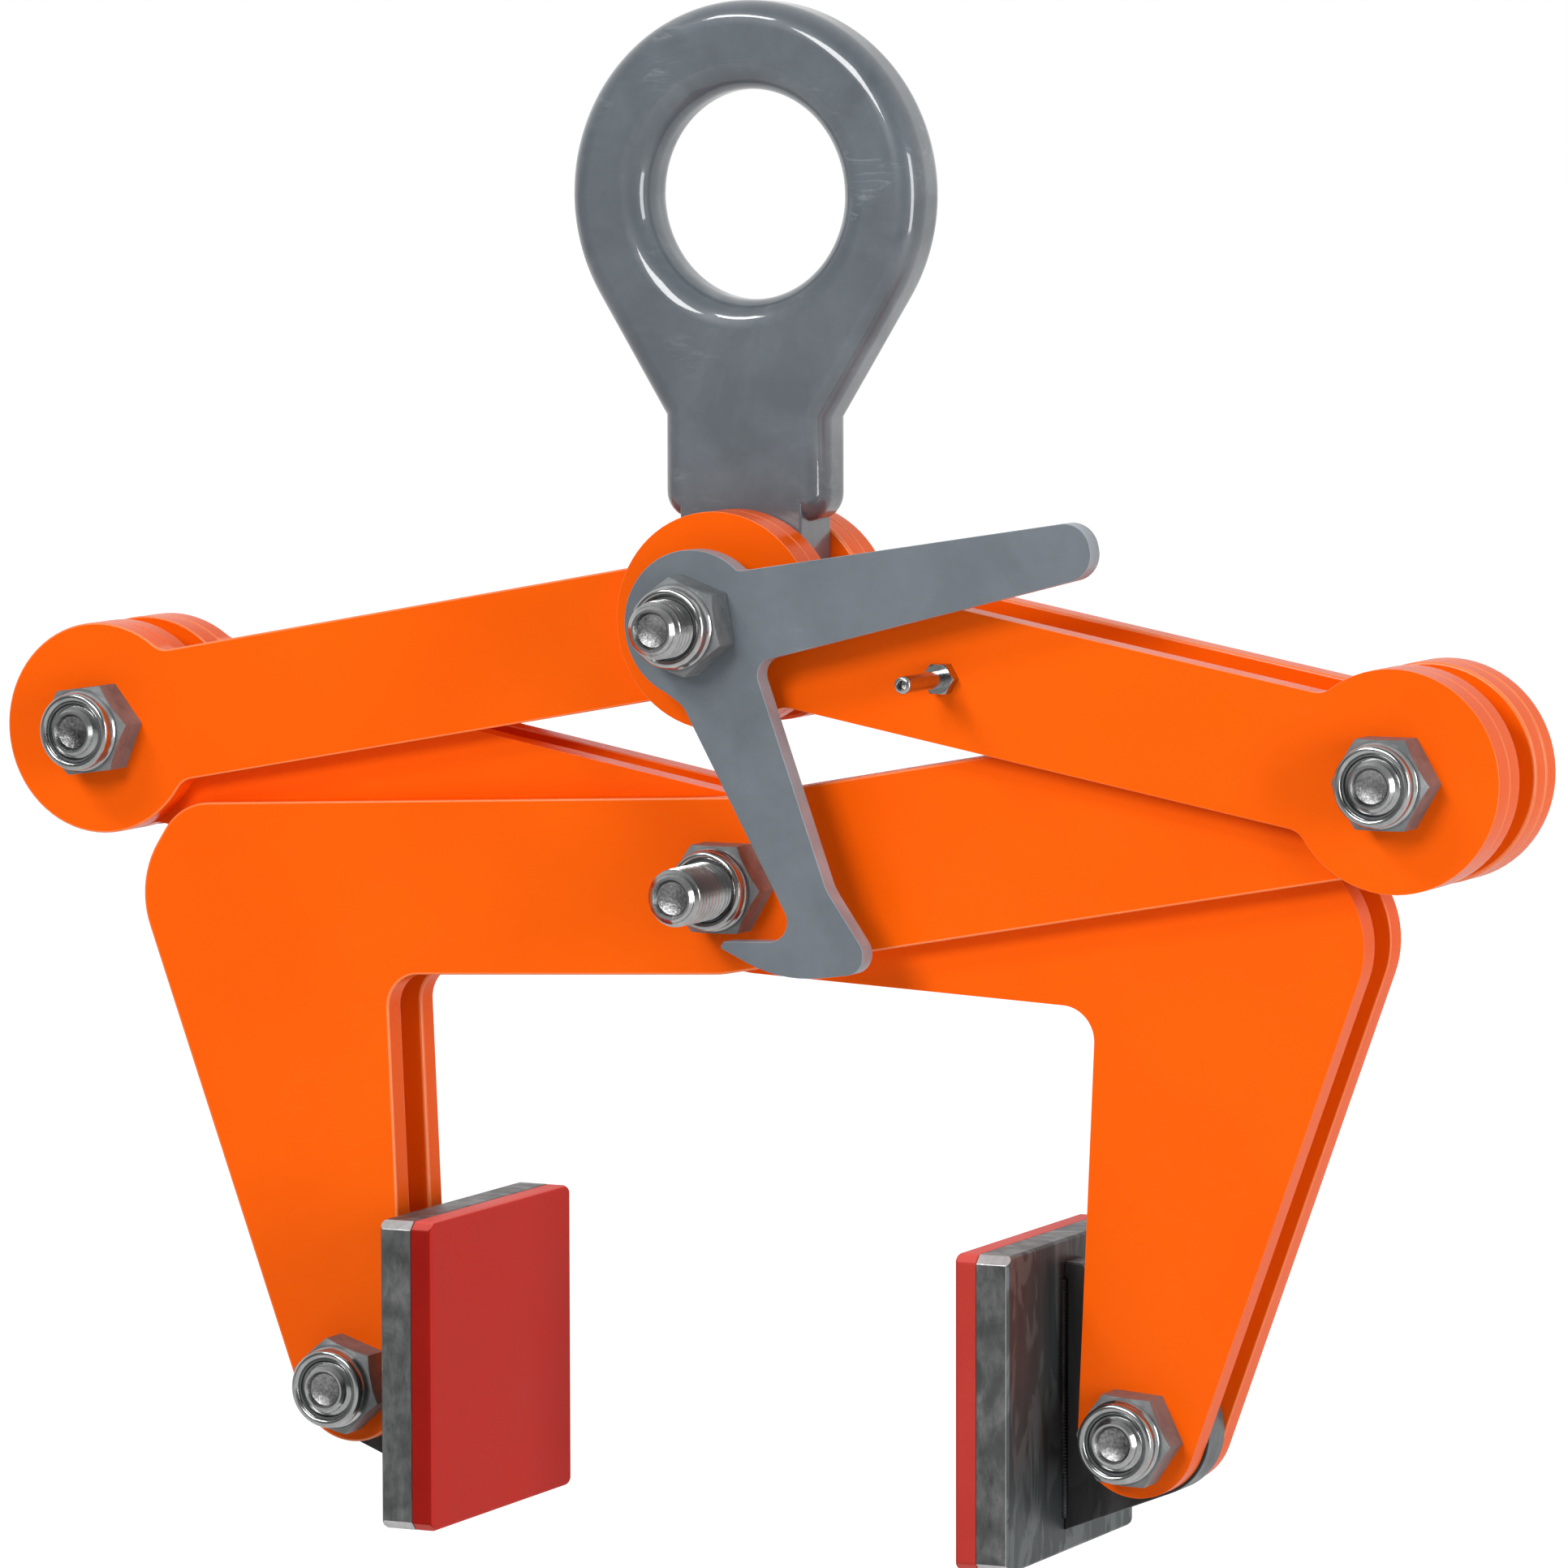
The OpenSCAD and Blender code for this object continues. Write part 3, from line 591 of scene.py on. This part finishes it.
thread_runs_mm = {"top_bolt": 22, "centre_bolt": 34, "right_pivot_bolt": 9,
                  "left_pivot_bolt": 9, "left_pad_bolt": 9, "right_pad_bolt": 9}
ends = {run: threaded_end(f"end_{run}", run * MM) for run in sorted(set(thread_runs_mm.values()))}
for node, run in thread_runs_mm.items():
    low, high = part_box(node)
    middle = (low + high) / 2
    bolt = dress(bench_copy(node, "plated_" + node), zinc)
    saw_off(bolt, low.y + run * MM - SAWN_INSIDE)
    break_edges(bolt, BOLT_EDGE, 2)
    join(bolt, moved(copied(ends[run], "end"), middle.x, low.y, middle.z))
    shade(bolt, angle=32)
    fit_to(bolt, body_of(node), "zinc", node)
for end in ends.values():
    bpy.data.objects.remove(end)
print("bolts:", len(thread_runs_mm))

# %% [markdown]
# ## Lock nuts and their nylon rings
# Each nut is a hexagon with a round collar that is rolled in over a nylon ring. The hexagons
# come from the model with their corners already turned off, so only the edges need breaking.
# The collar is turned once, with a band at its foot and a rolled rim, and copied to each nut.

# %% Turn a collar
HEX_H, RIM_H, RIM_ROLL = 13 * MM, 6.6 * MM, 1.6 * MM
FOOT_R, FOOT_H, FOOT_SINK = 14.3 * MM, 1.1 * MM, 0.3 * MM
COLLAR_R, CHAMBER_R = 13.8 * MM, 11.6 * MM


def rolled_collar():
    """Collar of a lock nut, from the hexagon's face at y = 0 forward to the rim."""
    foot = [(CHAMBER_R, -FOOT_SINK), (FOOT_R, -FOOT_SINK), (FOOT_R, FOOT_H),
            (FOOT_R - 0.5 * MM, FOOT_H + 0.5 * MM), (COLLAR_R - 0.3 * MM, 2.2 * MM),
            (COLLAR_R, 3 * MM)]
    roll = arc((COLLAR_R - RIM_ROLL, RIM_H - RIM_ROLL), RIM_ROLL, 0, 180, 12)
    wall = [(CHAMBER_R, RIM_H - RIM_ROLL - 0.2 * MM)]
    return turned("collar", [(r, -out) for r, out in foot + roll + wall], closed=True)


collar = dress(rolled_collar(), zinc)
print("collar faces:", len(collar.data.polygons))

# %% Fit a collar to each nut
NUT_STUB, NUT_EDGE = 0.2 * MM, 0.5 * MM
nuts = ["top_nut", "right_pivot_nut", "left_pivot_nut", "centre_nut", "left_pad_nut",
        "right_pad_nut"]
for node in nuts:
    low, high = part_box(node)
    middle = (low + high) / 2
    face_y = high.y - HEX_H
    nut = dress(bench_copy(node, "plated_" + node), matt_zinc)
    saw_off(nut, face_y - NUT_STUB)
    break_edges(nut, NUT_EDGE, 3, angle=18)
    join(nut, moved(copied(collar, "rim"), middle.x, face_y, middle.z))
    shade(nut, angle=35)
    fit_to(nut, body_of(node), "zinc", node)
bpy.data.objects.remove(collar)
print("nuts:", len(nuts))

# %% Nylon rings and spacers
RING_EDGE, SPACER_EDGE = 0.2 * MM, 0.5 * MM
for node in nuts:
    inner = node.replace("pivot_nut", "nut") + "_ring"
    ring = dress(bench_copy(inner, "nylon_" + inner), ring_plastic.material)
    break_edges(ring, RING_EDGE, 2)
    shade(ring)
    fit_to(ring, body_of(inner), "nylon", inner)
spacers = ["lever_spacer", "left_arm_spacer", "right_arm_spacer", "centre_spacer"]
for node in spacers:
    spacer = dress(bench_copy(node, "plated_" + node), zinc)
    break_edges(spacer, SPACER_EDGE, 2)
    shade(spacer)
    fit_to(spacer, body_of(node), "zinc", node)
print("rings:", len(nuts), "spacers:", len(spacers))

# %% [markdown]
# ## Stop pin
# The handle of the lock lever rests on a small pin that goes through the right link. It is a
# bright smooth rod with a rounded rim and a hollow end, so its front is turned, not threaded.

# %% Stop pin and its nut
PIN_R, PIN_RIM, PIN_END = 3 * MM, 1 * MM, 8 * MM
PIN_HOLE_R, PIN_HOLE_DEPTH = 1.7 * MM, 3 * MM
PIN_EDGE, PIN_NUT_EDGE = 0.2 * MM, 0.8 * MM
low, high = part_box("stop_pin")
nut_low, nut_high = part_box("stop_pin_nut")
axis = (nut_low + nut_high) / 2
pin = dress(bench_copy("stop_pin", "plated_stop_pin"), zinc, rough_zinc)
saw_off(pin, low.y + PIN_END - SAWN_INSIDE)
break_edges(pin, PIN_EDGE, 2)
rim = arc((PIN_R - PIN_RIM, PIN_RIM), PIN_RIM, 0, -90, 6)
hole = [(PIN_HOLE_R, 0.2 * MM), (PIN_HOLE_R - 0.2 * MM, PIN_HOLE_DEPTH),
        (0, PIN_HOLE_DEPTH + 0.4 * MM)]
pin_end = turned("pin_end", [(0, PIN_END), (PIN_R, PIN_END)] + rim + hole, steps=40)
line_hollow(dress(pin_end, zinc, rough_zinc), PIN_HOLE_R)
join(pin, moved(pin_end, axis.x, low.y, axis.z))
shade(pin)
fit_to(pin, body_of("stop_pin"), "zinc", "stop_pin")
pin_nut = dress(bench_copy("stop_pin_nut", "plated_stop_pin_nut"), zinc)
break_edges(pin_nut, PIN_NUT_EDGE, 4, angle=18)
shade(pin_nut, angle=35)
fit_to(pin_nut, body_of("stop_pin_nut"), "zinc", "stop_pin_nut")
print("stop pin at x", round(axis.x, 4))

# %% [markdown]
# ## Lifting eye
# The eye is one forging, so it is one skin: a ring that runs into a stem with two shoulders.
# Its outline is drawn flat, as an arc, two lines that touch it, and the stem. It is raised to
# the eye's thickness, and a wide bevel rounds both rims at once. The hole is cut by a turned
# plug that flares at both ends, which leaves it rounded too. The lug below comes from the
# model's own copy, bore included, and a boolean welds it on.

# %% Draw the eye's outline and raise it
EYE_T, EYE_ROUND = 24.4 * MM, 8.5 * MM
RING_R = 66.5 * MM
POST_R, POST_X, POST_Z = 9.5 * MM, 21.5 * MM, -73.5 * MM
SHOULDER_Z = -102.5 * MM

# The side of the neck touches the ring and a post in the stem, and leans by this angle
reach = math.hypot(POST_X, POST_Z)
lean = math.atan2(POST_Z, POST_X) + math.acos((RING_R - POST_R) / reach)
stem_x = POST_X + POST_R
neck_foot = (stem_x, (RING_R - stem_x * math.cos(lean)) / math.sin(lean))
half = (arc((0, 0), RING_R, 90, math.degrees(lean), 60) + [neck_foot]
        + arc((POST_X, SHOULDER_Z), POST_R, 0, -90, 8))
whole = half + [(-x, z) for x, z in reversed(half)][:-1]
eye = outline("forged_lifting_eye", [(x, -EYE_T / 2, z) for x, z in whole + whole[:1]])
merge_doubles(MERGE_WITHIN)
bpy.ops.mesh.edge_face_add()
bpy.ops.mesh.extrude_region_move(TRANSFORM_OT_translate={"value": (0, EYE_T, 0)})
turn_outward()
break_edges(eye, EYE_ROUND, 12, angle=60, use_clamp_overlap=False)
print("eye outline points:", len(whole))

# %% Bore the eye and weld on its lug
BORE_R, BORE_ROUND = 36 * MM, 10.5 * MM
MOUTH_R = BORE_R + BORE_ROUND
LUG_TOP, LUG_RISE, LUG_EDGE = -112.3 * MM, 8.6 * MM, 0.8 * MM
flare = arc((MOUTH_R, EYE_T / 2 - BORE_ROUND), BORE_ROUND, 180, 90, 12)
plug = turned("plug", [(0, -EYE_T), (MOUTH_R, -EYE_T)] + [(r, -y) for r, y in reversed(flare)]
              + flare + [(MOUTH_R, EYE_T), (0, EYE_T)], steps=128)
use(eye, "BOOLEAN", operation="DIFFERENCE", object=plug, solver="EXACT")
bpy.data.objects.remove(plug)

lug = bench_copy("lifting_eye", "lug")
edit(lug)
bpy.ops.mesh.bisect(plane_co=(0, 0, LUG_TOP), plane_no=(0, 0, 1), use_fill=True,
                    clear_outer=True)
bpy.ops.mesh.select_all(action="DESELECT")
bpy.ops.object.mode_set(mode="OBJECT")
for face in lug.data.polygons:
    face.select = face.normal.z > 0.99 and face.center.z > LUG_TOP - MM
bpy.ops.object.mode_set(mode="EDIT")
bpy.ops.mesh.select_mode(type="FACE")
bpy.ops.mesh.extrude_region_move(TRANSFORM_OT_translate={"value": (0, 0, LUG_RISE)})
bpy.ops.object.mode_set(mode="OBJECT")
break_edges(lug, LUG_EDGE)
use(eye, "BOOLEAN", operation="UNION", object=lug, solver="EXACT")
bpy.data.objects.remove(lug)
shade(dress(eye, eye_paint), angle=35)
fit_to(eye, body_of("lifting_eye"), "eye", "lifting_eye")
print("eye faces:", len(eye.data.polygons))

# %% [markdown]
# ## Lock lever
# The lever is cut from plate and painted a flat matt grey. Its hook has a small pointed nose,
# so its edges are broken by less than the big plates' are. Its broken edges and cut sides, which
# are all the faces that don't look forward or back, get a paler, more scuffed paint: the scuffs
# are wear, and the paler tone is painted light.

# %% Lock lever
LEVER_EDGE, FACES_FRONT = 0.6 * MM, 0.95
lever = dress(bench_copy("lock_lever", "painted_lock_lever"), lever_paint, lever_sides_scuffed_and_painted_light)
break_edges(lever, LEVER_EDGE)
# Faces that don't look forward or back take the paler paint, painted light on the lever's sides.
for face in lever.data.polygons:
    face.material_index = int(abs(face.normal.y) < FACES_FRONT)
shade(lever)
fit_to(lever, body_of("lock_lever"), "lever", "lock_lever")
print("lever faces:", len(lever.data.polygons))

# %% [markdown]
# ## Gripping pads
# Each pad is a bare steel plate with a lug welded to its back and a cast red facing on its
# front. The plate has sharp edges and its four corners ground bright, the right pad's plate has
# one edge at its back painted bright as a highlight, and the lug and the facing are a little
# rounder. A slim weld runs down each side of the lug. It is a row of overlapping puddles, each a
# squashed ball, which a voxel remesh melts into one rippled bead.

# %% A ground plate and a weld bead
WELD_R, WELD_STEP, WELD_SQUASH = 1.7 * MM, 1.2 * MM, 0.62
WELD_VOXEL = 0.3 * MM


def grind_and_paint_highlight(plate, on_right):
    """Ground bright corners, and a painted highlight on one edge at the right pad's back."""
    for face in plate.data.polygons:
        look = face.normal
        corner = abs(look.y) > 0.3 and abs(look.z) > 0.3
        painted_highlight_edge = on_right and look.x > 0.2 and look.y < -0.9
        face.material_index = int(corner or painted_highlight_edge)


def weld_bead(name, x, y, z_low, z_high):
    """A bead that climbs from one height to the other."""
    bpy.ops.object.select_all(action="DESELECT")
    bpy.ops.mesh.primitive_uv_sphere_add(segments=16, ring_count=10, radius=WELD_R,
                                         location=(x, y, z_low))
    bead = bpy.context.object
    bead.name = name
    bpy.ops.transform.resize(value=(1, 1, WELD_SQUASH))
    bpy.ops.object.transform_apply(location=True, rotation=False, scale=True)
    use(bead, "ARRAY", count=int((z_high - z_low) / WELD_STEP), use_relative_offset=False,
        use_constant_offset=True, constant_offset_displace=(0, 0, WELD_STEP))
    bead.data.remesh_voxel_size = WELD_VOXEL
    pick_up(bead)
    bpy.ops.object.voxel_remesh()
    use(bead, "SMOOTH", factor=0.5, iterations=3)
    shade(dress(bead, weld_metal), angle=60)
    return bead


print("weld bead:", WELD_R, "high, a puddle every", WELD_STEP)

# %% Pads and their welds
PLATE_RIM, PAD_RIM = 0.25 * MM, 0.7 * MM
WELD_FROM_FOOT, WELD_FROM_TOP = 5 * MM, 4 * MM
pad_parts = (("plate", PLATE_RIM, (plate_steel, ground_steel_and_painted_highlight), "raw_steel"),
             ("lug", PAD_RIM, (lug_steel,), "raw_steel"),
             ("facing", PAD_RIM, (red.material,), "facing"))
for side in ("left", "right"):
    on_right = side == "right"
    body = body_of(f"{side}_pad_plate")
    for part, width, finishes, slot in pad_parts:
        node = f"{side}_pad_{part}"
        piece = dress(bench_copy(node, "finished_" + node), *finishes)
        break_edges(piece, width, angle=25)
        if part == "plate":
            grind_and_paint_highlight(piece, on_right)
        shade(piece, angle=35)
        fit_to(piece, body, slot, node)
    low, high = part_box(f"{side}_pad_lug")
    foot = low.x if on_right else high.x
    for edge, y in (("front", low.y), ("back", high.y)):
        bead = weld_bead(f"{side}_pad_weld_{edge}", foot, y, low.z + WELD_FROM_FOOT,
                         high.z - WELD_FROM_TOP)
        fit_to(bead, body, "raw_steel")
    print(side, "pad: plate, lug, facing and two welds")

# %% [markdown]
# ## Floor, backdrop and light
# The tongs hang in a plain white studio. The floor catches the shadow, and it is white to the
# camera without lighting the steel. Bright metal would look like chalk in a room that is white
# all round, so lighting and reflections see a room that grows dim in front of the tongs. A wide
# soft lamp lights the plates, a second one above and a tall strip at the side draw the bright
# lines on the eye and the bolts, and the pale room fills the shadows.

# %% Floor
FLOOR_Z, FLOOR_SIZE = -0.75, 60
bpy.ops.object.select_all(action="DESELECT")
bpy.ops.mesh.primitive_plane_add(size=FLOOR_SIZE, location=(0, 0, FLOOR_Z))
floor = bpy.context.object
floor.name = "studio_floor"
studio = Finish("studio_white", Roughness=0.9, Specular_IOR_Level=0.0)
studio.feed("Base Color", studio.ramp(studio.noise(0.6), (0.3, 0.54), (0.7, 0.56)))
floor.data.materials.append(studio.material)
print("floor at", FLOOR_Z)

# %% White for the camera, dim for the steel
DIMMEST = 0.12


def maths(tree, operation, *values):
    """A Math node fed by sockets and numbers, clamped when it adds."""
    made = tree.nodes.new("ShaderNodeMath")
    made.operation = operation
    made.use_clamp = operation == "ADD"
    for index, value in enumerate(values):
        if isinstance(value, bpy.types.NodeSocket):
            tree.links.new(value, made.inputs[index])
        else:
            made.inputs[index].default_value = value
    return made.outputs[0]


def white_room(tree, place, near, far, seen, mirrored, lit):
    """Strength of the light from a place in the room.

    The camera sees all of it at the strength seen. Gloss and glass see the strength mirrored,
    and lighting the strength lit, and for these it grows from dim to full between near and far.
    """
    path = tree.nodes.new("ShaderNodeLightPath").outputs
    axes = tree.nodes.new("ShaderNodeSeparateXYZ")
    tree.links.new(place, axes.inputs["Vector"])
    dimmer = tree.nodes.new("ShaderNodeMapRange")
    dimmer.interpolation_type = "SMOOTHSTEP"
    for key, value in (("From Min", near), ("From Max", far), ("To Min", DIMMEST),
                       ("To Max", 1)):
        dimmer.inputs[key].default_value = value
    tree.links.new(axes.outputs["Y"], dimmer.inputs["Value"])
    shiny = maths(tree, "ADD", path["Is Glossy Ray"], path["Is Transmission Ray"])
    level = maths(tree, "MULTIPLY_ADD", shiny, mirrored - lit, lit)
    room = maths(tree, "MULTIPLY", level, dimmer.outputs["Result"])
    return maths(tree, "MAXIMUM", maths(tree, "MULTIPLY", path["Is Camera Ray"], seen), room)


world = bpy.data.worlds.new("studio_world")
bpy.context.scene.world = world
world.use_nodes = True
room = world.node_tree
sky = room.nodes["Background"]
sky.inputs["Color"].default_value = (1, 1, 1, 1)
around = room.nodes.new("ShaderNodeTexCoord").outputs["Generated"]
room.links.new(white_room(room, around, near=-0.85, far=0.5, seen=1.0, mirrored=1.0, lit=0.72),
               sky.inputs["Strength"])

studio.shader.inputs["Emission Color"].default_value = (1, 1, 1, 1)
studio.feed("Emission Strength", white_room(studio.tree, studio.place, near=-1.5, far=1.5,
                                            seen=0.8, mirrored=0.6, lit=0.0))
print("world and floor: white to the camera")

# %% Lamps
AIM = Vector((0, 0, -0.2))


def lamp(name, azimuth, elevation, distance, width, height, power):
    """A soft lamp at a distance from the tongs, turned to face them."""
    light = bpy.data.lights.new(name, "AREA")
    light.shape = "RECTANGLE"
    light.size, light.size_y = width, height
    light.energy = power
    holder = bpy.data.objects.new(name, light)
    bpy.context.scene.collection.objects.link(holder)
    a, e = math.radians(azimuth), math.radians(elevation)
    away = Vector((math.sin(a) * math.cos(e), -math.cos(a) * math.cos(e), math.sin(e)))
    holder.location = AIM + away * distance
    holder.rotation_euler = away.to_track_quat("Z", "Y").to_euler()
    print(name, "at", [round(c, 2) for c in holder.location])


lamp("key_light", azimuth=-6, elevation=24, distance=3.0, width=1.0, height=0.9, power=44)
lamp("top_light", azimuth=-33, elevation=42, distance=3.0, width=0.9, height=0.4, power=22)
lamp("side_strip", azimuth=65, elevation=4, distance=2.6, width=0.6, height=1.5, power=30)
